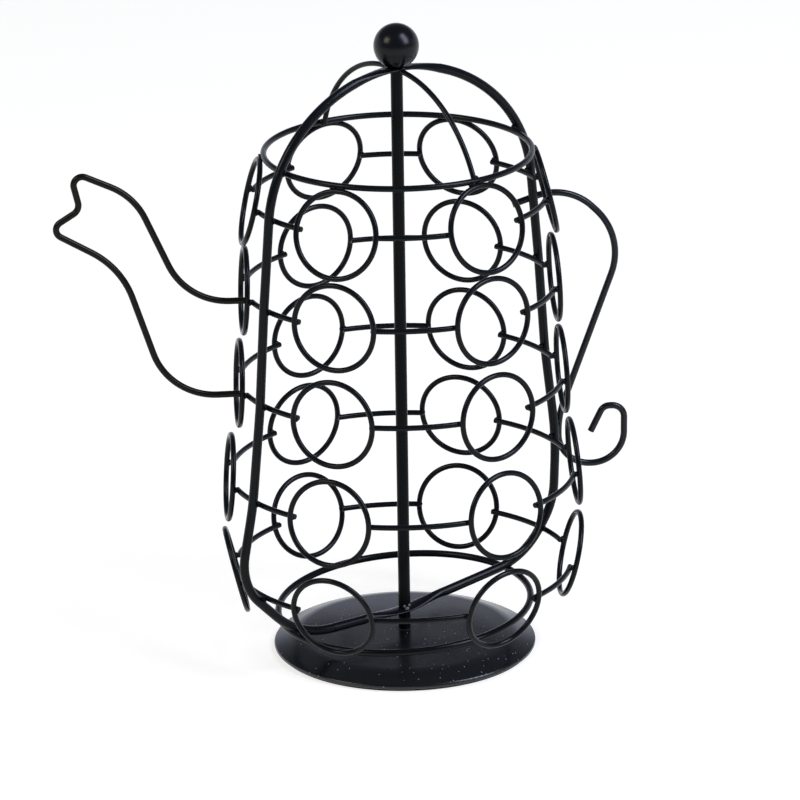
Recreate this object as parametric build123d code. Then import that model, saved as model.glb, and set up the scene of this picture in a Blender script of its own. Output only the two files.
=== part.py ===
from build123d import *
from math import acos, asin, atan2, copysign, cos, degrees, hypot, radians, sin, sqrt, tan
import os

# Teapot-shaped wire carousel: columns of holding rings stand round a centre rod that turns on a round base.
# Millimetres, +Z up. The origin is on the table under the rod. Azimuths run from -Y (front) towards +X.

# Holding rings, tier lists run from the bottom tier to the top tier
ring_bore = 31.4
ring_wire = 2.2
column_names = ["front_left", "front_right", "right", "rear_right", "rear_left", "left"]
first_column_azimuth = -30.0
tier_radius = [67.3, 69.0, 64.3, 61.5, 58.1]
tier_tilt = [-13.8, 4.6, 2.6, 2.9, 13.3]
tier_gap = [4.0, 3.4, 2.5, 1.0]
bottom_tier_lift = 11.2

# Turns of single rings from their even places round the rod, by tier and column, as the welds came out
ring_turn = {
    (0, "rear_right"): 4.9,
    (1, "rear_right"): 4.0,
    (3, "rear_left"): -2.2,
    (4, "rear_left"): -4.8,
}

# Tie wires between neighbouring rings
link_wire = 2.2
link_overshoot = 0.1

# Thick rib loop that runs over the dome and under the cage
rib_wire = 3.7
front_rib_azimuth = -60.5
rear_rib_azimuth = 115.0
dome_centre_drop = 4.5
dome_height = 55.9
side_bend = 120.0
front_belly_width = 6.7
front_belly_bend = 23.0
front_foot_slope = 45.0
front_foot_bend = 38.0
rear_belly_width = -0.8
rear_belly_bend = 30.0
rear_foot_slope = 55.0
rear_foot_bend = 30.0
rear_foot_rise = 10.6
bar_lift = 6.2
seam_offset = 34.9
seam_gap = 0.2

# Where the rod passes through the loop the wire is pressed flat into an eye, and the top eye has spot faces
eye_reach = 20.0
eye_width = 7.4
eye_seat_drop = 0.25
eye_overlap = 0.5
eye_inset = 0.04

# Hoops and dome wires
top_ring_wire = 2.4
top_ring_seat_angle = 45.0
lower_ring_wire = 2.8
lower_ring_radius = 50.8
lower_ring_gap = 0.2
dome_wire = 2.1
dome_wire_azimuth = 30.0
dome_wire_drop = 0.5
dome_wire_gap = 0.25
rear_dome_swell = 2.2

# Spout: outline points are (out from the lower weld, up from the lower weld)
spout_wire = 2.6
spout_weld_rise = 1.2
spout_upper_tier_index = 3
spout_lower_tier_index = 2
spout_neck_out = 20.6
spout_shoulder = (39.9, 82.3)
spout_lip_top = (64.6, 93.6)
spout_lip_notch = (61.0, 77.8)
spout_lip_tip = (73.7, 69.9)
spout_throat = (45.8, 53.8)
spout_belly_out = 28.5
spout_bends = [26.0, 26.0, 3.4, 4.2, 3.4, 34.0, 26.0]

# Handle: start, crown and grip are (out, up from the upper weld), and the rest is up from the lower weld
handle_wire = 2.7
handle_lower_tier_index = 1
handle_upper_tier_index = 3
handle_upper_rise = 22.5
handle_weld_angle = 55.0
handle_start = (-18.5, -1.0)
handle_crown = (3.8, 6.6)
handle_grip = (26.9, -16.4)
handle_heel_up = 8.1
handle_curl_width = 26.8
handle_curl_drop = 13.2
handle_hook_up = 11.4
handle_hook_in = 8.5
handle_end = (13.2, 0.7)
handle_bends = [22.0, 26.0, 40.0, handle_curl_width / 2, handle_curl_width / 2, 5.0, 4.0]

# Base: a pressed dish on a glued pad
pad_thickness = 1.0
pad_inset = 1.6
rim_radius = 52.6
rim_band = 1.6
rim_fillet = 0.7
rim_lip = 7.0
dish_top_radius = 43.5
dish_shoulder = 12.0
dish_crown = 1.2
sheet = 1.0

# Turning joint and fasteners
rod_diameter = 4.8
stud_diameter = 4.0
stud_protrusion = 0.3
bush_wall = 1.5
bush_flange_width = 1.0
bush_flange_thickness = 0.6
bush_stand = 0.05
washer_diameter = 9.0
washer_thickness = 0.8
nut_flats = 7.0
nut_height = 2.8
ball_diameter = 17.8
ball_seat_radius = 3.0
ball_thread_depth = 10.0

# Clearances, the share of a run that its two bends may fill, and the rounds in which a bend is seated
weld_gap = 0.1
bend_room = 0.98
seat_rounds = 4
running_clearance = 0.05
press_clearance = 0.01
thread_clearance = 0.02
washer_gap = 0.1
flange_gap = 0.05
nut_pad_gap = 0.4

# Ring and tier places worked out from the sizes above
ring_radius = ring_bore / 2 + ring_wire / 2
top_tier = len(tier_radius) - 1
column_step = 360.0 / len(column_names)
column_azimuth = [first_column_azimuth + column_step * index for index in range(len(column_names))]
tier_half_height = [ring_radius * cos(radians(tilt)) + ring_wire / 2 for tilt in tier_tilt]

# Heights of the base and the turning joint
stud_end = pad_thickness + nut_pad_gap
nut_bottom = stud_end + stud_protrusion
washer_bottom = nut_bottom + nut_height
bush_bottom = washer_bottom + washer_thickness + washer_gap
dish_top = bush_bottom + bush_flange_thickness + flange_gap + sheet
rod_shoulder = dish_top + bush_stand + running_clearance
hub_radius = stud_diameter / 2 + running_clearance + bush_wall

# Heights of the tiers
tier_height = [dish_top + bottom_tier_lift + tier_half_height[0]]
for index, gap in enumerate(tier_gap):
    tier_height.append(tier_height[index] + tier_half_height[index] + gap + tier_half_height[index + 1])

# A tie wire lies against the inner side of the ring wires at the ends of their level diameters
link_radius = []
for radius, tilt in zip(tier_radius, tier_tilt):
    ring_end = hypot(radius, ring_radius)
    link_radius.append(ring_end - ((ring_wire + link_wire) / 2 + weld_gap) / cos(radians(tilt)))

# Rib loop outline, as (distance from the rod, height), with the rib against the outer side of the tie wires
rib_seat = (rib_wire + link_wire) / 2 + weld_gap
rib_out = [radius + rib_seat for radius in link_radius]
side_points = [(rib_out[tier], tier_height[tier]) for tier in range(1, top_tier)]

# The dome is half an ellipse that touches the top tier's ties, and the straight sides run into it
dome_centre = tier_height[top_tier] - dome_centre_drop
dome_width = rib_out[top_tier] / sqrt(1 - (dome_centre_drop / dome_height) ** 2)
loop_top = dome_centre + dome_height
eye_half = rib_wire**2 / eye_width / 2 - eye_seat_drop
eye_bottom = loop_top - eye_half
eye_top = loop_top + eye_half
high_out, high_height = side_points[-1]
high_drop = (high_height - dome_centre) * dome_width / dome_height
shoulder_turn = atan2(high_drop, high_out) + acos(dome_width / hypot(high_out, high_drop))
shoulder_point = (dome_width * cos(shoulder_turn), dome_centre + dome_height * sin(shoulder_turn))
bar_height = dish_top + bar_lift + rib_wire / 2
rear_foot_height = bar_height + rear_foot_rise


# A place on a foot's straight run, which touches the bottom tier's tie wire on its outer or inner side
def foot_place(out, side, slope):
    seat_out = link_radius[0] + side * rib_seat * sin(radians(slope))
    seat_height = tier_height[0] - side * rib_seat * cos(radians(slope))
    return out, seat_height + (out - seat_out) * tan(radians(slope))


def foot_place_at(height, side, slope):
    level_out, level_height = foot_place(link_radius[0], side, slope)
    return level_out + (height - level_height) / tan(radians(slope)), height


# The second tier's corner, moved out or in so that the middle of its bend touches the tie wire
def belly_corner(belly):
    seat_out, seat_height = side_points[0]
    next_out, next_height = side_points[1]
    corner_out = seat_out
    for _ in range(seat_rounds):
        lower_run = Vector(corner_out - belly[0], seat_height - belly[1])
        upper_run = Vector(next_out - corner_out, next_height - seat_height)
        turn = atan2(lower_run.cross(upper_run).Z, lower_run.dot(upper_run))
        corner_out = seat_out + copysign(side_bend * (1 / cos(turn / 2) - 1), turn)
    return corner_out, seat_height


front_belly = foot_place(side_points[0][0] + front_belly_width, 1, front_foot_slope)
front_foot = foot_place_at(bar_height, 1, front_foot_slope)
rear_belly = foot_place(side_points[0][0] + rear_belly_width, -1, rear_foot_slope)
rear_foot = foot_place_at(rear_foot_height, -1, rear_foot_slope)
front_out = Vector(sin(radians(front_rib_azimuth)), -cos(radians(front_rib_azimuth)), 0)
rear_out = Vector(sin(radians(rear_rib_azimuth)), -cos(radians(rear_rib_azimuth)), 0)
loop_side = Vector(0, 0, 1).cross(front_out - rear_out).normalized()


# Points of the loop's two halves, from the distance from the rod and the height
def on_front(out, height):
    return front_out * out + Vector(0, 0, height)


def on_rear(out, height):
    return rear_out * out + Vector(0, 0, height)


# Bend radii, reduced in step where two neighbouring bends would meet on the run between them
def fitted_bends(points, bends):
    corners = [Vector(*point) for point in points]
    runs = [after - before for before, after in zip(corners, corners[1:])]
    half_turns = [radians(before.get_angle(after)) / 2 for before, after in zip(runs, runs[1:])]
    reaches = [0.0] + [bend * tan(half) for bend, half in zip(bends, half_turns)] + [0.0]
    needs = [first + second for first, second in zip(reaches, reaches[1:])]
    shares = [min(1.0, bend_room * run.length / need) for run, need in zip(runs, needs)]
    return [bend * min(before, after) for bend, before, after in zip(bends, shares, shares[1:])]


# A round wire along straight runs and bends through 3-D points
def bent_wire(points, bends, diameter):
    path = FilletPolyline(*points, radius=fitted_bends(points, bends))
    section = Plane(origin=path @ 0, z_dir=path % 0) * Circle(diameter / 2)
    return sweep(section, path=path)


# A disc or collar between two heights
def disc(radius, bottom, top):
    return Pos(0, 0, bottom) * Cylinder(radius, top - bottom, align=(Align.CENTER, Align.CENTER, Align.MIN))


def ring_azimuth(tier, column):
    return column_azimuth[column] + ring_turn.get((tier, column_names[column]), 0.0)


def holding_ring(tier, column):
    turned = Rot(0, 0, ring_azimuth(tier, column)) * Pos(0, -tier_radius[tier], tier_height[tier])
    return turned * Rot(90 - tier_tilt[tier], 0, 0) * Torus(ring_radius, ring_wire / 2)


def tie_wires(tier):
    end_width = ring_radius - ring_wire / 2 - link_overshoot
    ring_half = degrees(asin(end_width / link_radius[tier]))
    wires = []
    for column in range(len(column_names)):
        following = (column + 1) % len(column_names)
        start = ring_azimuth(tier, column) + ring_half
        span = (ring_azimuth(tier, following) - ring_azimuth(tier, column)) % 360 - 2 * ring_half
        arc = Torus(link_radius[tier], link_wire / 2, major_angle=span, align=None)
        wires.append(Pos(0, 0, tier_height[tier]) * Rot(0, 0, start - 90) * arc)
    return Compound(children=wires)


# A length of the loop that is pressed flat at its middle and round at its ends, through five places along it
def flat_eye(places):
    directions = [places[1] - places[0], places[2] - places[0], places[3] - places[1], places[4] - places[2]]
    directions.append(places[4] - places[3])
    middle_width = (rib_wire + eye_width) / 2
    widths = [rib_wire - eye_inset, middle_width, eye_width, middle_width, rib_wire - eye_inset]
    sections = []
    for place, direction, width in zip(places, directions, widths):
        thickness = min(width, rib_wire**2 / width)
        across = Plane(origin=place, x_dir=loop_side, z_dir=direction)
        sections.append(across * Ellipse(width / 2, thickness / 2))
    return loft(sections)


# A place on the dome, by its distance from the rod
def dome_place(out):
    return out, dome_centre + dome_height * sqrt(1 - (out / dome_width) ** 2)


# The dome's curve on one side, from its shoulder to the eye at the top
def dome_side(direction, inner):
    side_plane = Plane(origin=(0, 0, dome_centre), x_dir=direction, z_dir=direction.cross(Vector(0, 0, 1)))
    start = degrees(shoulder_turn)
    size = degrees(acos(inner / dome_width)) - start
    arc = EllipticalCenterArc((0, 0), dome_width, dome_height, start_angle=start, arc_size=size)
    return side_plane * arc


def swept(path):
    return sweep(Plane(origin=path @ 0, z_dir=path % 0) * Circle(rib_wire / 2), path=path)


# One wire, butted at a seam in the bar under the cage, with flat eyes for the rod at the top and in the bar
def rib_loop():
    upper = side_points[1:] + [shoulder_point]
    upper_bends = [side_bend] * len(side_points)
    bar_eye = Vector(0, 0, bar_height)
    rear_run = (on_rear(*rear_foot) - bar_eye).normalized()
    eye_end = eye_reach - eye_overlap
    stub = Line(on_front(eye_end, bar_height), on_front(seam_offset - seam_gap / 2, bar_height))
    front = [on_front(seam_offset + seam_gap / 2, bar_height)]
    front_places = [front_foot, front_belly, belly_corner(front_belly)] + upper
    rear_places = [rear_foot, rear_belly, belly_corner(rear_belly)] + upper
    front += [on_front(*place) for place in front_places]
    rear = [on_rear(*place) for place in reversed(rear_places)]
    rear.append(bar_eye + rear_run * eye_end)
    front_bends = [front_foot_bend, front_belly_bend] + upper_bends
    rear_bends = upper_bends + [rear_belly_bend, rear_foot_bend]
    rise = FilletPolyline(*front, radius=fitted_bends(front, front_bends))
    fall = FilletPolyline(*rear, radius=fitted_bends(rear, rear_bends))
    front_wire = swept(Wire(rise.edges() + dome_side(front_out, eye_end).edges()))
    rear_wire = swept(Wire(dome_side(rear_out, eye_end).edges() + fall.edges()))
    eye_places = [-1.0, -0.5, 0.0, 0.5, 1.0]
    tops = [(on_front if place < 0 else on_rear, dome_place(abs(place) * eye_reach)) for place in eye_places]
    top_eye = flat_eye([on_side(*top) for on_side, top in tops])
    runs = [(front_out if place < 0 else rear_run) * abs(place) for place in eye_places]
    lower_eye = flat_eye([bar_eye + run * eye_reach for run in runs])
    top_hole = disc(stud_diameter / 2 + thread_clearance, loop_top - rib_wire, loop_top + rib_wire)
    above = disc(eye_reach, eye_top, eye_top + rib_wire)
    below = disc(rod_diameter / 2 + weld_gap, eye_bottom - rib_wire, eye_bottom)
    rod_hole = disc(rod_diameter / 2 + weld_gap, bar_height - rib_wire, bar_height + rib_wire)
    wire = front_wire + rear_wire + swept(stub)
    return wire + (top_eye - top_hole - above - below) + (lower_eye - rod_hole)


# The top ring lies on the inner upper side of the tops of the top tier's rings
top_ring_seat = (ring_wire + top_ring_wire) / 2 + weld_gap
top_tilt = radians(tier_tilt[top_tier])
seat_in = top_ring_seat * cos(radians(top_ring_seat_angle))
seat_up = top_ring_seat * sin(radians(top_ring_seat_angle))
top_ring_radius = tier_radius[top_tier] - ring_radius * sin(top_tilt) - seat_in
top_ring_height = tier_height[top_tier] + ring_radius * cos(top_tilt) + seat_up


def top_ring():
    return Pos(0, 0, top_ring_height) * Torus(top_ring_radius, top_ring_wire / 2)


# The lower ring hangs under the loop's front foot bend and under the rising bar behind the rod
def lower_ring():
    seat = (rib_wire + lower_ring_wire) / 2 + lower_ring_gap
    bend_middle = front_foot[0] - front_foot_bend * tan(radians(front_foot_slope) / 2)
    bend_drop = sqrt((front_foot_bend + seat) ** 2 - (lower_ring_radius - bend_middle) ** 2)
    front_height = bar_height + front_foot_bend - bend_drop
    bar_slope = atan2(rear_foot_rise, rear_foot[0])
    rear_height = bar_height + lower_ring_radius * tan(bar_slope) - seat / cos(bar_slope)
    tilt = asin((rear_height - front_height) / (2 * lower_ring_radius))
    normal = Vector(0, 0, cos(tilt)) + (front_out - rear_out).normalized() * sin(tilt)
    centre = Vector(0, 0, (front_height + rear_height) / 2)
    ring_plane = Plane(origin=centre, x_dir=loop_side, z_dir=normal)
    return ring_plane * Torus(lower_ring_radius, lower_ring_wire / 2)


# A thin arc from the eye down to the inner side of the top ring, swelled from a circle about the rod's axis
def dome_arc(azimuth, swell):
    start_out = eye_width / 2 + dome_wire_gap
    end_out = top_ring_radius - (top_ring_wire + dome_wire) / 2 - dome_wire_gap
    crown_height = loop_top - dome_wire_drop
    centre = (crown_height**2 - end_out**2 - top_ring_height**2) / (2 * (crown_height - top_ring_height))
    circle_radius = crown_height - centre
    start_turn = acos(start_out / circle_radius)
    end_turn = acos(end_out / circle_radius)
    turns = [start_turn, (start_turn + end_turn) / 2, end_turn]
    reaches = [circle_radius, circle_radius + swell, circle_radius]
    places = [(reach * cos(turn), reach * sin(turn)) for turn, reach in zip(turns, reaches)]
    path = Plane(origin=(0, 0, centre), x_dir=(0, -1, 0), z_dir=(-1, 0, 0)) * ThreePointArc(*places)
    section = Plane(origin=path @ 0, z_dir=path % 0) * Circle(dome_wire / 2)
    return Rot(0, 0, azimuth) * sweep(section, path=path)


# The spout butts against the outer side of two rings of the left column, at their front ends
def spout():
    weld_reach = ring_wire / 2 + weld_gap
    weld_out = tier_radius[spout_lower_tier_index]
    weld_height = tier_height[spout_lower_tier_index] + spout_weld_rise
    upper_rise = tier_height[spout_upper_tier_index] - tier_height[spout_lower_tier_index]
    upper_out = tier_radius[spout_upper_tier_index] - weld_out
    outline = [(upper_out + weld_reach, upper_rise), (spout_neck_out, upper_rise), spout_shoulder]
    outline += [spout_lip_top, spout_lip_notch, spout_lip_tip, spout_throat]
    outline += [(spout_belly_out, 0), (weld_reach, 0)]
    points = [Vector(-weld_out - out, -ring_radius, weld_height + up) for out, up in outline]
    return bent_wire(points, spout_bends, spout_wire)


# The handle passes behind the rear rib at its upper weld and lies beside it at its lower weld
def handle():
    contact = (rib_wire + handle_wire) / 2 + weld_gap
    beside = Vector(contact * cos(radians(handle_weld_angle)), contact * sin(radians(handle_weld_angle)), 0)
    lower_height = tier_height[handle_lower_tier_index]
    lower_weld = on_rear(rib_out[handle_lower_tier_index], lower_height) + beside
    upper_height = tier_height[handle_upper_tier_index] + handle_upper_rise
    rise_share = handle_upper_rise / (shoulder_point[1] - high_height)
    upper_out = high_out + (shoulder_point[0] - high_out) * rise_share
    upper_weld = on_rear(upper_out, upper_height) + Vector(0, contact, 0)
    weld_rise = upper_height - lower_height
    lean = (upper_weld.Y - lower_weld.Y) / weld_rise
    outline = [(out, weld_rise + up) for out, up in (handle_start, handle_crown, handle_grip)]
    outline += [(0, handle_heel_up), (0, -handle_curl_drop), (handle_curl_width, -handle_curl_drop)]
    outline += [(handle_curl_width, handle_hook_up), (handle_curl_width - handle_hook_in, handle_hook_up)]
    outline += [handle_end]
    points = [lower_weld + Vector(out, lean * up, up) for out, up in outline]
    return bent_wire(points, handle_bends, handle_wire)


# The dish's profile as (distance from the rod, height): straight skirt, bent shoulder and spherical crown
rim_top = Vector(rim_radius, pad_thickness + rim_band)
skirt_run = Vector(dish_top_radius, dish_top - dish_crown) - rim_top
skirt = skirt_run.normalized()
inward = Vector(-skirt.Y, skirt.X)
shoulder_room = bend_room * skirt_run.length / 2 / tan(atan2(skirt.Y, -skirt.X) / 2)
shoulder_bend = min(dish_shoulder, shoulder_room)
crown_radius = (dish_top_radius**2 + dish_crown**2) / (2 * dish_crown)
crown_centre = Vector(0, dish_top - crown_radius)
bend_reach = rim_top + inward * shoulder_bend - crown_centre
bend_along = bend_reach.dot(skirt)
bend_aside = bend_reach.dot(bend_reach) - bend_along**2
skirt_length = sqrt((crown_radius - shoulder_bend) ** 2 - bend_aside) - bend_along
skirt_end = rim_top + skirt * skirt_length
shoulder_centre = skirt_end + inward * shoulder_bend
crown_edge = (shoulder_centre - crown_centre).normalized()
crown_edge_turn = degrees(atan2(crown_edge.Y, crown_edge.X))


# The half section at a depth inside the profile, above its lower edge
def dish_half(depth, lower):
    shoulder_middle = (crown_edge - inward).normalized()
    shoulder = ThreePointArc(
        skirt_end + inward * depth,
        shoulder_centre + shoulder_middle * (shoulder_bend - depth),
        crown_centre + crown_edge * (crown_radius - depth),
    )
    crown = CenterArc(crown_centre, crown_radius - depth, crown_edge_turn, 90 - crown_edge_turn)
    axis = Line((0, dish_top - depth), lower @ 0)
    return make_face(lower.edges() + shoulder.edges() + crown.edges() + axis.edges())


# A pressed dish, hollow from one sheet inside its profile
def base_dish():
    corners = [Vector(0, pad_thickness), Vector(rim_radius, pad_thickness), rim_top, skirt_end]
    lower_edge = FilletPolyline(*corners, radius=fitted_bends(corners, [rim_fillet, rim_fillet]))
    floor = pad_thickness + sheet
    inner_end = skirt_end + inward * sheet
    inner_wall = min(inner_end.X - (inner_end.Y - floor) / skirt.Y * skirt.X, rim_radius - sheet)
    inner_edge = Polyline((0, floor), (inner_wall, floor), inner_end)
    outside = revolve(Plane.XZ * dish_half(0, lower_edge), Axis.Z)
    hollow = revolve(Plane.XZ * dish_half(sheet, inner_edge), Axis.Z)
    mouth = disc(rim_radius - rim_lip, 0, floor)
    hub_hole = disc(hub_radius, 0, 2 * dish_top)
    return outside - hollow - mouth - hub_hole


def base_pad():
    return disc(rim_radius - pad_inset, 0, pad_thickness)


# Bush pressed into the dish from below, its flange under the sheet, in which the rod's lower stud turns
def hub_bush():
    body = disc(hub_radius - press_clearance, bush_bottom, dish_top + bush_stand)
    flange = disc(hub_radius + bush_flange_width, bush_bottom, bush_bottom + bush_flange_thickness)
    return body + flange - disc(stud_diameter / 2 + running_clearance, 0, 2 * dish_top)


def centre_rod():
    stud_top = eye_top + ball_thread_depth - stud_protrusion
    return disc(stud_diameter / 2, stud_end, stud_top) + disc(rod_diameter / 2, rod_shoulder, eye_bottom)


def under_washer():
    washer = disc(washer_diameter / 2, washer_bottom, washer_bottom + washer_thickness)
    return washer - disc(stud_diameter / 2 + thread_clearance, 0, dish_top)


def lock_nut():
    hexagon = RegularPolygon(nut_flats / 2, 6, major_radius=False)
    nut = Pos(0, 0, nut_bottom) * extrude(hexagon, nut_height)
    return nut - disc(stud_diameter / 2 + thread_clearance, 0, dish_top)


def ball_knob():
    centre = eye_top + sqrt((ball_diameter / 2) ** 2 - ball_seat_radius**2)
    ball = Pos(0, 0, centre) * Sphere(ball_diameter / 2)
    below = disc(ball_diameter, eye_top - ball_diameter, eye_top)
    return ball - below - disc(stud_diameter / 2 + thread_clearance, eye_top, eye_top + ball_thread_depth)


pieces = {
    "base_dish": base_dish(),
    "base_pad": base_pad(),
    "hub_bush": hub_bush(),
    "centre_rod": centre_rod(),
    "under_washer": under_washer(),
    "lock_nut": lock_nut(),
    "ball_knob": ball_knob(),
    "rib_loop": rib_loop(),
    "top_ring": top_ring(),
    "lower_ring": lower_ring(),
    "dome_wire_front": dome_arc(dome_wire_azimuth, 0.0),
    "dome_wire_rear": dome_arc(dome_wire_azimuth + 180, rear_dome_swell),
    "spout_wire": spout(),
    "handle_wire": handle(),
}
for tier in range(len(tier_radius)):
    pieces[f"tier{tier + 1}_tie_wires"] = tie_wires(tier)
    for column, name in enumerate(column_names):
        pieces[f"tier{tier + 1}_ring_{name}"] = holding_ring(tier, column)

os.makedirs("parts", exist_ok=True)
for name, shape in pieces.items():
    export_step(shape, f"parts/{name}.step")
print("tiers", [round(height, 2) for height in tier_height], "loop top", round(loop_top, 2))
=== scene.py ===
import bpy
import math
from mathutils import Matrix, Vector
from mathutils.bvhtree import BVHTree


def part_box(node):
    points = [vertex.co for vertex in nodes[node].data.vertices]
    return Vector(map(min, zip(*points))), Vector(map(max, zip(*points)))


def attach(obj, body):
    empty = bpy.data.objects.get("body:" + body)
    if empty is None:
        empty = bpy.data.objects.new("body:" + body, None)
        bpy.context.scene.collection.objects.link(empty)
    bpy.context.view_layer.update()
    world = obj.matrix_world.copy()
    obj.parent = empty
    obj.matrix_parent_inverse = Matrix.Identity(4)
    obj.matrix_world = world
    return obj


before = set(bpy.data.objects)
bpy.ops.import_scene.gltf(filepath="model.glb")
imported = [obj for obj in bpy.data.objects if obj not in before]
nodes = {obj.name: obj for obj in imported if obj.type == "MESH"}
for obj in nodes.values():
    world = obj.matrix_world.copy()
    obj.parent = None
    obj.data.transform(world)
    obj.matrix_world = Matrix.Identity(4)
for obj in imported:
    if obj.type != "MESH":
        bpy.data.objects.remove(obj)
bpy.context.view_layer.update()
scene = bpy.context.scene
mm = 0.001


# sRGB hex to the linear colour that sockets take
def linearColor(hexText):
    channels = []
    for start in (1, 3, 5):
        value = int(hexText[start:start + 2], 16) / 255
        channels.append(value / 12.92 if value <= 0.04045 else ((value + 0.055) / 1.055) ** 2.4)
    return (*channels, 1.0)


# adds one node, sets it up, and links any input that is given as a socket
def addNode(tree, kind, settings=None, inputs=None):
    node = tree.nodes.new(kind)
    for name, value in (settings or {}).items():
        setattr(node, name, value)
    for name, value in (inputs or {}).items():
        if isinstance(value, bpy.types.NodeSocket):
            tree.links.new(value, node.inputs[name])
        else:
            node.inputs[name].default_value = value
    return node


# pattern scale that gives features of this size on Object coordinates, which are in metres
def perSize(sizeMm):
    return 1 / (sizeMm * mm)


def newMaterial(name):
    material = bpy.data.materials.new(name)
    material.use_nodes = True
    material.node_tree.nodes.clear()
    return material, material.node_tree


# camera, matched to the photo
cameraSetup = {
    "azimuth": 5.45,  # degrees that it stands to the left of the front
    "distance": 2.0,
    "height": 0.7845,
    "heading": 5.434,
    "pitch": 18.796,
    "roll": -0.854,
    "lens": 239.5,
    "sensor": 36.0,
}


def makeCamera(setup):
    azimuth = math.radians(setup["azimuth"])
    heading = math.radians(setup["heading"])
    pitch = math.radians(setup["pitch"])
    roll = math.radians(setup["roll"])
    place = Vector((-math.sin(azimuth), -math.cos(azimuth), 0)) * setup["distance"]
    place.z = setup["height"]
    level = Vector((math.sin(heading), math.cos(heading), 0))
    forward = level * math.cos(pitch) - Vector((0, 0, math.sin(pitch)))
    right = Vector((math.cos(heading), -math.sin(heading), 0))
    up = right.cross(forward)
    across = right * math.cos(roll) + up * math.sin(roll)
    upright = up * math.cos(roll) - right * math.sin(roll)
    turn = Matrix((across, upright, -forward)).transposed()
    data = bpy.data.cameras.new("camera")
    data.lens = setup["lens"]
    data.sensor_width = setup["sensor"]
    data.clip_end = 50
    camera = bpy.data.objects.new("camera", data)
    camera.matrix_world = Matrix.Translation(place) @ turn.to_4x4()
    scene.collection.objects.link(camera)
    scene.camera = camera


makeCamera(cameraSetup)
print("camera set")

# studio: a pale floor, two soft boxes beside the camera and a glowing backdrop low behind the object
studio = {
    "floorSize": 16.0,
    "floorColor": "#b7b4ab",
    "floorGlow": 0.7,  # what the floor adds for rays that look at it, so that it shows white
    "backdropColor": "#e3eafc",
    "backdropLevel": 1.0,
    "roomLevel": 0.2,
    "backdropFade": (-0.35, 0.35),  # how far round to the front the backdrop reaches
    "glowFade": (0.2, 0.4),  # sines of the heights between which the glow fades
    "lampAim": (0, 0, 0.13),
}
softBoxes = {
    "keyBox": {
        "azimuth": 54,
        "elevation": 43,
        "distance": 3.0,
        "size": (1.2, 2.4),
        "power": 93.0,
        "color": "#dfe8ff",
    },
    "fillBox": {
        "azimuth": -66,
        "elevation": 36,
        "distance": 3.0,
        "size": (1.2, 1.1),
        "power": 28.0,
        "color": "#fff6ea",
    },
}


def makeFloor(setup):
    half = setup["floorSize"] / 2
    mesh = bpy.data.meshes.new("floor")
    corners = [(-half, -half, 0), (half, -half, 0), (half, half, 0), (-half, half, 0)]
    mesh.from_pydata(corners, [], [(0, 1, 2, 3)])
    floor = bpy.data.objects.new("floor", mesh)
    scene.collection.objects.link(floor)
    material, tree = newMaterial("paperSweep")  # matt pale paper: soft shadows and no shine
    rays = addNode(tree, "ShaderNodeLightPath")
    seen = addNode(tree, "ShaderNodeMath", {"operation": "MAXIMUM"},
                   {0: rays.outputs["Is Camera Ray"], 1: rays.outputs["Is Glossy Ray"]})
    shown = addNode(tree, "ShaderNodeMath", {"operation": "MAXIMUM"},
                    {0: seen.outputs[0], 1: rays.outputs["Is Transmission Ray"]})
    level = addNode(tree, "ShaderNodeMath", {"operation": "MULTIPLY"},
                    {0: shown.outputs[0], 1: setup["floorGlow"]})
    glow = addNode(tree, "ShaderNodeEmission", None, {"Color": (1, 1, 1, 1), "Strength": level.outputs[0]})
    paper = addNode(tree, "ShaderNodeBsdfDiffuse", None, {"Color": linearColor(setup["floorColor"])})
    both = addNode(tree, "ShaderNodeAddShader", None, {0: paper.outputs[0], 1: glow.outputs[0]})
    addNode(tree, "ShaderNodeOutputMaterial", None, {"Surface": both.outputs[0]})
    mesh.materials.append(material)


def makeWorld(setup):
    world = bpy.data.worlds.new("studioWorld")
    world.use_nodes = True
    tree = world.node_tree
    tree.nodes.clear()
    place = addNode(tree, "ShaderNodeTexCoord")
    axes = addNode(tree, "ShaderNodeSeparateXYZ", None, {0: place.outputs["Generated"]})
    behindLow, behindHigh = setup["backdropFade"]
    behind = addNode(tree, "ShaderNodeMapRange", {"interpolation_type": "SMOOTHSTEP"},
                     {"Value": axes.outputs["Y"], "From Min": behindLow, "From Max": behindHigh})
    glowLow, glowHigh = setup["glowFade"]
    lowDown = addNode(tree, "ShaderNodeMapRange", {"interpolation_type": "SMOOTHSTEP"},
                      {"Value": axes.outputs["Z"], "From Min": glowHigh, "From Max": glowLow})
    backdrop = addNode(tree, "ShaderNodeMath", {"operation": "MULTIPLY"},
                       {0: behind.outputs[0], 1: lowDown.outputs[0]})
    fade = addNode(tree, "ShaderNodeMapRange", None,
                   {"Value": backdrop.outputs[0], "To Min": setup["roomLevel"],
                    "To Max": setup["backdropLevel"]})
    sky = addNode(tree, "ShaderNodeBackground", None,
                  {"Color": linearColor(setup["backdropColor"]), "Strength": fade.outputs[0]})
    addNode(tree, "ShaderNodeOutputWorld", None, {"Surface": sky.outputs[0]})
    scene.world = world


def makeSoftBox(name, setup, aim):
    azimuth = math.radians(setup["azimuth"])
    elevation = math.radians(setup["elevation"])
    level = Vector((math.sin(azimuth), -math.cos(azimuth), 0)) * math.cos(elevation)
    direction = level + Vector((0, 0, math.sin(elevation)))
    data = bpy.data.lights.new(name, "AREA")
    data.shape = "RECTANGLE"
    data.size, data.size_y = setup["size"]
    data.energy = setup["power"]
    data.color = linearColor(setup["color"])[:3]
    lamp = bpy.data.objects.new(name, data)
    lamp.location = Vector(aim) + direction * setup["distance"]
    lamp.rotation_euler = (-direction).to_track_quat("-Z", "Y").to_euler()
    scene.collection.objects.link(lamp)


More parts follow.
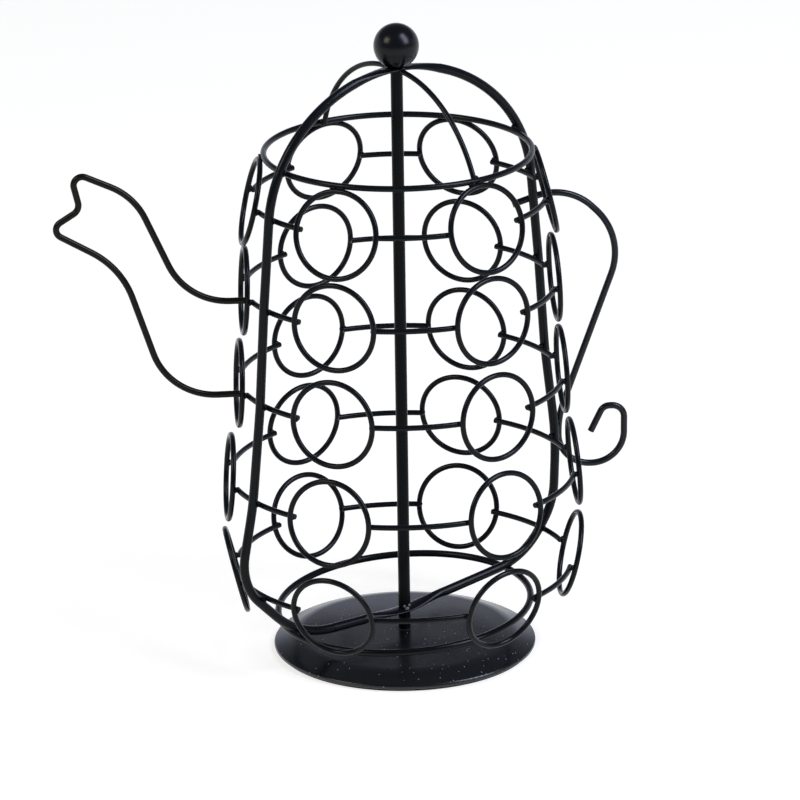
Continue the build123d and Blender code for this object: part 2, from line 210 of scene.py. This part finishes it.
makeFloor(studio)
makeWorld(studio)
for name, setup in softBoxes.items():
    makeSoftBox(name, setup, studio["lampAim"])
scene.view_settings.view_transform = "Standard"
print("studio set")

# satin black powder coat on steel wire: near-black, softly glossy, with a faint orange-peel skin
wireCoat = {
    "color": "#080a0d",
    "paleColor": "#101318",
    "toneMm": 14.0,
    "roughness": (0.17, 0.27),
    "patchMm": 5.0,
    "ior": 1.24,
    "peelMm": 1.1,  # real orange peel is near half this, drawn coarser so that it shows
    "peelHeightMm": 0.016,
    "dust": None,
}
# the same coat on the spout, toned faintly olive
spoutCoat = {**wireCoat, "color": "#0d0d07", "paleColor": "#16160d"}
# the same coat on the rod, toned blacker as painted shade, and mirroring less
rodCoatPaintedShade = {**wireCoat, "color": "#06080a", "paleColor": "#0b0d11", "ior": 1.18}
# the same coat on the handle, toned bluer and paler as painted light from the bluish lamp on its side, and
# mirroring more
handleCoatPaintedLight = {**wireCoat, "color": "#0a0d12", "paleColor": "#12161d", "ior": 1.34}
# the same coat on the pressed base, a little flatter, with dust lying on it
baseCoat = {
    "color": "#0a0c0f",
    "paleColor": "#111418",
    "toneMm": 22.0,
    "roughness": (0.2, 0.28),
    "patchMm": 9.0,
    "ior": 1.48,
    "peelMm": 1.3,
    "peelHeightMm": 0.014,
    "dust": {"color": "#9c9ea0", "cellMm": 2.9, "speckMm": 0.31, "core": 0.4, "roughness": 0.9},
}
# black enamel on the turned ball: an even satin with hardly any orange peel
ballCoat = {
    "color": "#07090c",
    "paleColor": "#0c0f13",
    "toneMm": 12.0,
    "roughness": (0.22, 0.28),
    "patchMm": 6.0,
    "ior": 1.3,
    "peelMm": 0.9,
    "peelHeightMm": 0.004,
    "dust": None,
}
# pale grey, mottled colour on the weld lumps at the rod's foot
paleWeldCoat = {
    "color": "#2c3035",
    "paleColor": "#7c8086",
    "toneMm": 0.8,
    "roughness": (0.35, 0.55),
    "patchMm": 1.0,
    "ior": 1.5,
    "peelMm": 0.5,
    "peelHeightMm": 0.05,
    "dust": None,
}


noiseRange = (0.3, 0.7)  # between these lie most of a noise texture's values


def makeCoat(name, setup):
    material, tree = newMaterial(name)
    place = addNode(tree, "ShaderNodeTexCoord").outputs["Object"]
    tone = addNode(tree, "ShaderNodeTexNoise", None,
                   {"Vector": place, "Scale": perSize(setup["toneMm"]), "Detail": 4.0})
    color = addNode(tree, "ShaderNodeMix", {"data_type": "RGBA"},
                    {0: tone.outputs["Fac"], 6: linearColor(setup["color"]),
                     7: linearColor(setup["paleColor"])})
    patch = addNode(tree, "ShaderNodeTexNoise", None,
                    {"Vector": place, "Scale": perSize(setup["patchMm"]), "Detail": 3.0})
    low, high = setup["roughness"]
    gloss = addNode(tree, "ShaderNodeMapRange", None,
                    {"Value": patch.outputs["Fac"], "From Min": noiseRange[0], "From Max": noiseRange[1],
                     "To Min": low, "To Max": high})
    peel = addNode(tree, "ShaderNodeTexNoise", None,
                   {"Vector": place, "Scale": perSize(setup["peelMm"]), "Detail": 2.0})
    skin = addNode(tree, "ShaderNodeBump", None,
                   {"Height": peel.outputs["Fac"], "Distance": setup["peelHeightMm"] * mm, "Strength": 1.0})
    colorOut, glossOut = color.outputs[2], gloss.outputs[0]
    if setup["dust"]:
        dust = setup["dust"]
        cells = addNode(tree, "ShaderNodeTexVoronoi", None,
                        {"Vector": place, "Scale": perSize(dust["cellMm"])})
        reach = dust["speckMm"] / dust["cellMm"]
        specks = addNode(tree, "ShaderNodeMapRange", None,
                         {"Value": cells.outputs["Distance"], "From Min": reach * dust["core"],
                          "From Max": reach, "To Min": 1.0, "To Max": 0.0})
        dusty = addNode(tree, "ShaderNodeMix", {"data_type": "RGBA"},
                        {0: specks.outputs[0], 6: colorOut, 7: linearColor(dust["color"])})
        dull = addNode(tree, "ShaderNodeMix", None,
                       {0: specks.outputs[0], 2: glossOut, 3: dust["roughness"]})
        colorOut, glossOut = dusty.outputs[2], dull.outputs[0]
    coat = addNode(tree, "ShaderNodeBsdfPrincipled", None,
                   {"Base Color": colorOut, "Roughness": glossOut, "IOR": setup["ior"],
                    "Normal": skin.outputs[0]})
    addNode(tree, "ShaderNodeOutputMaterial", None, {"Surface": coat.outputs[0]})
    return material


wireMaterial = makeCoat("powderCoatWire", wireCoat)
spoutMaterial = makeCoat("powderCoatSpout", spoutCoat)
# the rod's coat is darkened as painted shade
rodMaterialPaintedShade = makeCoat("powderCoatRodPaintedShade", rodCoatPaintedShade)
# the handle's coat is paled and blued as painted light
handleMaterialPaintedLight = makeCoat("powderCoatHandlePaintedLight", handleCoatPaintedLight)
baseMaterial = makeCoat("powderCoatBase", baseCoat)
ballMaterial = makeCoat("blackEnamelBall", ballCoat)
paleWeldMaterial = makeCoat("paleGreyWeld", paleWeldCoat)

# closed-cell foam rubber of the pad: matt, with a fine cell pattern
padFoam = {
    "color": "#17171a",
    "paleColor": "#242427",
    "cellMm": 0.9,
    "cellDepthMm": 0.06,
    "roughness": 0.85,
}


def makeFoam(name, setup):
    material, tree = newMaterial(name)
    place = addNode(tree, "ShaderNodeTexCoord").outputs["Object"]
    cells = addNode(tree, "ShaderNodeTexVoronoi", None,
                    {"Vector": place, "Scale": perSize(setup["cellMm"])})
    color = addNode(tree, "ShaderNodeMix", {"data_type": "RGBA"},
                    {0: cells.outputs["Distance"], 6: linearColor(setup["color"]),
                     7: linearColor(setup["paleColor"])})
    pores = addNode(tree, "ShaderNodeBump", None,
                    {"Height": cells.outputs["Distance"], "Distance": setup["cellDepthMm"] * mm})
    foam = addNode(tree, "ShaderNodeBsdfPrincipled", None,
                   {"Base Color": color.outputs[2], "Roughness": setup["roughness"],
                    "Normal": pores.outputs[0]})
    addNode(tree, "ShaderNodeOutputMaterial", None, {"Surface": foam.outputs[0]})
    return material


# moulded black nylon of the bush: low sheen, with the fine grain of a spark-cut mould
bushNylon = {
    "color": "#16171a",
    "paleColor": "#202125",
    "grainMm": 0.35,
    "grainHeightMm": 0.01,
    "roughness": 0.48,
    "ior": 1.53,
}


def makeNylon(name, setup):
    material, tree = newMaterial(name)
    place = addNode(tree, "ShaderNodeTexCoord").outputs["Object"]
    grain = addNode(tree, "ShaderNodeTexNoise", None,
                    {"Vector": place, "Scale": perSize(setup["grainMm"]), "Detail": 3.0})
    color = addNode(tree, "ShaderNodeMix", {"data_type": "RGBA"},
                    {0: grain.outputs["Fac"], 6: linearColor(setup["color"]),
                     7: linearColor(setup["paleColor"])})
    skin = addNode(tree, "ShaderNodeBump", None,
                   {"Height": grain.outputs["Fac"], "Distance": setup["grainHeightMm"] * mm})
    nylon = addNode(tree, "ShaderNodeBsdfPrincipled", None,
                    {"Base Color": color.outputs[2], "Roughness": setup["roughness"], "IOR": setup["ior"],
                     "Normal": skin.outputs[0]})
    addNode(tree, "ShaderNodeOutputMaterial", None, {"Surface": nylon.outputs[0]})
    return material


# zinc-plated steel of the nut and the washer: bluish metal with fine turning marks round the rod
zincPlate = {
    "color": "#a9adb3",
    "paleColor": "#c8ccd2",
    "markMm": 0.25,
    "markHeightMm": 0.006,
    "roughness": (0.26, 0.42),
}


def makeZinc(name, setup):
    material, tree = newMaterial(name)
    place = addNode(tree, "ShaderNodeTexCoord").outputs["Object"]
    ringPitch = math.pi / 10  # a wave's own distance between rings at scale 1
    marks = addNode(tree, "ShaderNodeTexWave", {"wave_type": "RINGS", "rings_direction": "Z"},
                    {"Vector": place, "Scale": ringPitch * perSize(setup["markMm"]),
                     "Distortion": 2.0, "Detail": 2.0})
    color = addNode(tree, "ShaderNodeMix", {"data_type": "RGBA"},
                    {0: marks.outputs["Fac"], 6: linearColor(setup["color"]),
                     7: linearColor(setup["paleColor"])})
    low, high = setup["roughness"]
    gloss = addNode(tree, "ShaderNodeMapRange", None,
                    {"Value": marks.outputs["Fac"], "To Min": low, "To Max": high})
    skin = addNode(tree, "ShaderNodeBump", None,
                   {"Height": marks.outputs["Fac"], "Distance": setup["markHeightMm"] * mm})
    zinc = addNode(tree, "ShaderNodeBsdfPrincipled", None,
                   {"Base Color": color.outputs[2], "Metallic": 1.0, "Roughness": gloss.outputs[0],
                    "Normal": skin.outputs[0]})
    addNode(tree, "ShaderNodeOutputMaterial", None, {"Surface": zinc.outputs[0]})
    return material


padMaterial = makeFoam("foamRubber", padFoam)
bushMaterial = makeNylon("mouldedNylon", bushNylon)
zincMaterial = makeZinc("zincPlatedSteel", zincPlate)
nodeMaterials = {
    "base_dish": baseMaterial,
    "base_pad": padMaterial,
    "hub_bush": bushMaterial,
    "ball_knob": ballMaterial,
    "spout_wire": spoutMaterial,
    "centre_rod": rodMaterialPaintedShade,
    "handle_wire": handleMaterialPaintedLight,
    "under_washer": zincMaterial,
    "lock_nut": zincMaterial,
}
for name, node in nodes.items():
    node.data.materials.clear()
    node.data.materials.append(nodeMaterials.get(name, wireMaterial))
print("materials on", len(nodes), "nodes")

# weld beads: a small lump of filler wherever two wires touch
weldBeads = {
    "searchMm": 1.5,
    "steps": 12,  # rounds of stepping from one surface to the other
    "reachMm": 0.45,  # wires closer than this are welded
    "clusterMm": 4.0,  # closer places share one bead
    "spread": 0.62,  # half width of a bead, in diameters of the thinner wire
    "flatness": 0.55,
    "smallest": (0.85, 0.85, 0.85),  # beads vary between these shares of their size
    "largest": (1.2, 1.1, 1.1),
    "lumpMm": 0.9,
    "lumpHeightMm": 0.22,
    "seed": 7,
}


# middles and directions of the places where one node's surface comes closest to another's
def weldPlaces(firstName, secondName, setup):
    search = setup["searchMm"] * mm
    margin = Vector((search, search, search))
    low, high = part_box(secondName)
    low, high = low - margin, high + margin
    first, second = surfaces[firstName], surfaces[secondName]
    clusters = []
    for vertex in nodes[firstName].data.vertices:
        point = vertex.co
        if any(point[i] < low[i] or point[i] > high[i] for i in range(3)):
            continue
        near = second.find_nearest(point, search)[0]
        if near is None:
            continue
        for _ in range(setup["steps"]):
            point = first.find_nearest(near)[0]
            near, normal, _, gap = second.find_nearest(point)
        if gap > setup["reachMm"] * mm:
            continue
        middle = (point + near) / 2
        for cluster in clusters:
            if (cluster["sum"] / cluster["count"] - middle).length < setup["clusterMm"] * mm:
                break
        else:
            cluster = {"sum": Vector(), "normal": Vector(), "count": 0}
            clusters.append(cluster)
        cluster["sum"] += middle
        cluster["normal"] += normal
        cluster["count"] += 1
    return [(cluster["sum"] / cluster["count"], cluster["normal"].normalized()) for cluster in clusters]


depsgraph = bpy.context.evaluated_depsgraph_get()
surfaces = {name: BVHTree.FromObject(node, depsgraph) for name, node in nodes.items()}

# wire diameters in mm, where they are not the thin wire of the rings and ties
wireDiameters = {
    "rib_loop": 3.7,
    "top_ring": 2.4,
    "lower_ring": 2.8,
    "spout_wire": 2.6,
    "handle_wire": 2.7,
    "dome_wire_front": 2.1,
    "dome_wire_rear": 2.1,
}
thinWire = 2.2
columns = ("front_left", "front_right", "right", "rear_right", "rear_left", "left")
tiers = range(1, 6)
weldPairs = [
    ("rib_loop", "lower_ring"),
    ("rib_loop", "handle_wire"),
    ("rib_loop", "top_ring"),
    ("dome_wire_front", "top_ring"),
    ("dome_wire_rear", "top_ring"),
    ("dome_wire_front", "rib_loop"),
    ("dome_wire_rear", "rib_loop"),
    ("spout_wire", "tier3_ring_left"),
    ("spout_wire", "tier4_ring_left"),
]
weldPairs += [(f"tier{tier}_tie_wires", "rib_loop") for tier in tiers]
weldPairs += [(f"tier5_ring_{column}", "top_ring") for column in columns]
for tier in tiers:
    weldPairs += [(f"tier{tier}_tie_wires", f"tier{tier}_ring_{column}") for column in columns]


def makeBeadTree(material):
    tree = bpy.data.node_groups.new("beadTree", "GeometryNodeTree")
    face = tree.interface
    face.new_socket("Geometry", in_out="INPUT", socket_type="NodeSocketGeometry")
    for name, kind in (("Flatness", "NodeSocketFloat"), ("Lump Size", "NodeSocketFloat"),
                       ("Lump Height", "NodeSocketFloat"), ("Seed", "NodeSocketInt"),
                       ("Smallest", "NodeSocketVector"), ("Largest", "NodeSocketVector")):
        face.new_socket(name, in_out="INPUT", socket_type=kind)
    face.new_socket("Geometry", in_out="OUTPUT", socket_type="NodeSocketGeometry")
    given = addNode(tree, "NodeGroupInput").outputs
    direction = addNode(tree, "GeometryNodeInputNamedAttribute", {"data_type": "FLOAT_VECTOR"},
                        {"Name": "beadNormal"})
    size = addNode(tree, "GeometryNodeInputNamedAttribute", {"data_type": "FLOAT"}, {"Name": "beadSize"})
    upright = addNode(tree, "FunctionNodeAlignRotationToVector", {"axis": "Z"},
                      {"Vector": direction.outputs[0]})
    spin = addNode(tree, "FunctionNodeRandomValue", {"data_type": "FLOAT"},
                   {2: 0.0, 3: 2 * math.pi, "Seed": given["Seed"]})
    about = addNode(tree, "ShaderNodeCombineXYZ", None, {"Z": spin.outputs[1]})
    turned = addNode(tree, "FunctionNodeRotateRotation", {"rotation_space": "LOCAL"},
                     {"Rotation": upright.outputs[0], "Rotate By": about.outputs[0]})
    uneven = addNode(tree, "FunctionNodeRandomValue", {"data_type": "FLOAT_VECTOR"},
                     {0: given["Smallest"], 1: given["Largest"], "Seed": given["Seed"]})
    flat = addNode(tree, "ShaderNodeCombineXYZ", None, {"X": 1.0, "Y": 1.0, "Z": given["Flatness"]})
    shape = addNode(tree, "ShaderNodeVectorMath", {"operation": "MULTIPLY"},
                    {0: uneven.outputs[0], 1: flat.outputs[0]})
    scale = addNode(tree, "ShaderNodeVectorMath", {"operation": "SCALE"},
                    {0: shape.outputs[0], "Scale": size.outputs[0]})
    drop = addNode(tree, "GeometryNodeMeshIcoSphere", None, {"Radius": 1.0, "Subdivisions": 3})
    beads = addNode(tree, "GeometryNodeInstanceOnPoints", None,
                    {"Points": given["Geometry"], "Instance": drop.outputs[0],
                     "Rotation": turned.outputs[0], "Scale": scale.outputs[0]})
    solid = addNode(tree, "GeometryNodeRealizeInstances", None, {0: beads.outputs[0]})
    fineness = addNode(tree, "ShaderNodeMath", {"operation": "DIVIDE"}, {0: 1.0, 1: given["Lump Size"]})
    lumps = addNode(tree, "ShaderNodeTexNoise", None, {"Scale": fineness.outputs[0], "Detail": 2.0})
    centred = addNode(tree, "ShaderNodeMath", {"operation": "SUBTRACT"}, {0: lumps.outputs["Fac"], 1: 0.5})
    height = addNode(tree, "ShaderNodeMath", {"operation": "MULTIPLY"},
                     {0: centred.outputs[0], 1: given["Lump Height"]})
    outward = addNode(tree, "GeometryNodeInputNormal")
    push = addNode(tree, "ShaderNodeVectorMath", {"operation": "SCALE"},
                   {0: outward.outputs[0], "Scale": height.outputs[0]})
    lumpy = addNode(tree, "GeometryNodeSetPosition", None,
                    {"Geometry": solid.outputs[0], "Offset": push.outputs[0]})
    smooth = addNode(tree, "GeometryNodeSetShadeSmooth", None, {"Geometry": lumpy.outputs[0]})
    coated = addNode(tree, "GeometryNodeSetMaterial", None,
                     {"Geometry": smooth.outputs[0], "Material": material})
    addNode(tree, "NodeGroupOutput", None, {0: coated.outputs[0]})
    return tree


# turns points with a direction and a size into one plain mesh of beads
def makeBeads(name, places, setup, material):
    mesh = bpy.data.meshes.new(name)
    mesh.from_pydata([place for place, _, _ in places], [], [])
    mesh.attributes.new("beadNormal", "FLOAT_VECTOR", "POINT")
    mesh.attributes.new("beadSize", "FLOAT", "POINT")
    for index, (_, normal, size) in enumerate(places):
        mesh.attributes["beadNormal"].data[index].vector = normal
        mesh.attributes["beadSize"].data[index].value = size
    piece = bpy.data.objects.new(name, mesh)
    scene.collection.objects.link(piece)
    modifier = piece.modifiers.new("beads", "NODES")
    modifier.node_group = makeBeadTree(material)
    values = {"Flatness": setup["flatness"], "Lump Size": setup["lumpMm"] * mm,
              "Lump Height": setup["lumpHeightMm"] * mm, "Seed": setup["seed"],
              "Smallest": setup["smallest"], "Largest": setup["largest"]}
    for item in modifier.node_group.interface.items_tree:
        if item.in_out == "INPUT" and item.name in values:
            modifier[item.identifier] = values[item.name]
    shown = piece.evaluated_get(bpy.context.evaluated_depsgraph_get())
    piece.data = bpy.data.meshes.new_from_object(shown)
    piece.modifiers.clear()
    return piece


places = []
for first, second in weldPairs:
    thinner = min(wireDiameters.get(first, thinWire), wireDiameters.get(second, thinWire))
    for place, normal in weldPlaces(first, second, weldBeads):
        places.append((place, normal, thinner * weldBeads["spread"] * mm))
beads = makeBeads("weld_beads", places, weldBeads, wireMaterial)
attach(beads, "cage")
print("weld beads:", len(places))

# weld between the rod and the eye in the lower bar: small lumps on the rod, above the eye
rodWeld = {
    "turns": (-4.0, 22.0, 50.0),  # degrees round the rod from the front towards the handle's side
    "risesMm": (3.0, 1.7, 3.1),  # above the eye's underside
    "sizesMm": (0.6, 0.95, 0.7),
    "rodRadiusMm": 2.4,
}


def rodWeldPlaces(setup):
    eye = surfaces["rib_loop"].find_nearest(Vector((0, 0, 0)))[0]
    marks = []
    for turn, rise, size in zip(setup["turns"], setup["risesMm"], setup["sizesMm"]):
        outward = Vector((math.sin(math.radians(turn)), -math.cos(math.radians(turn)), 0))
        place = outward * setup["rodRadiusMm"] * mm
        place.z = eye.z + rise * mm
        marks.append((place, outward, size * mm))
    return marks


rodBeads = makeBeads("rod_weld", rodWeldPlaces(rodWeld), weldBeads, paleWeldMaterial)
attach(rodBeads, "cage")
print("rod weld done")
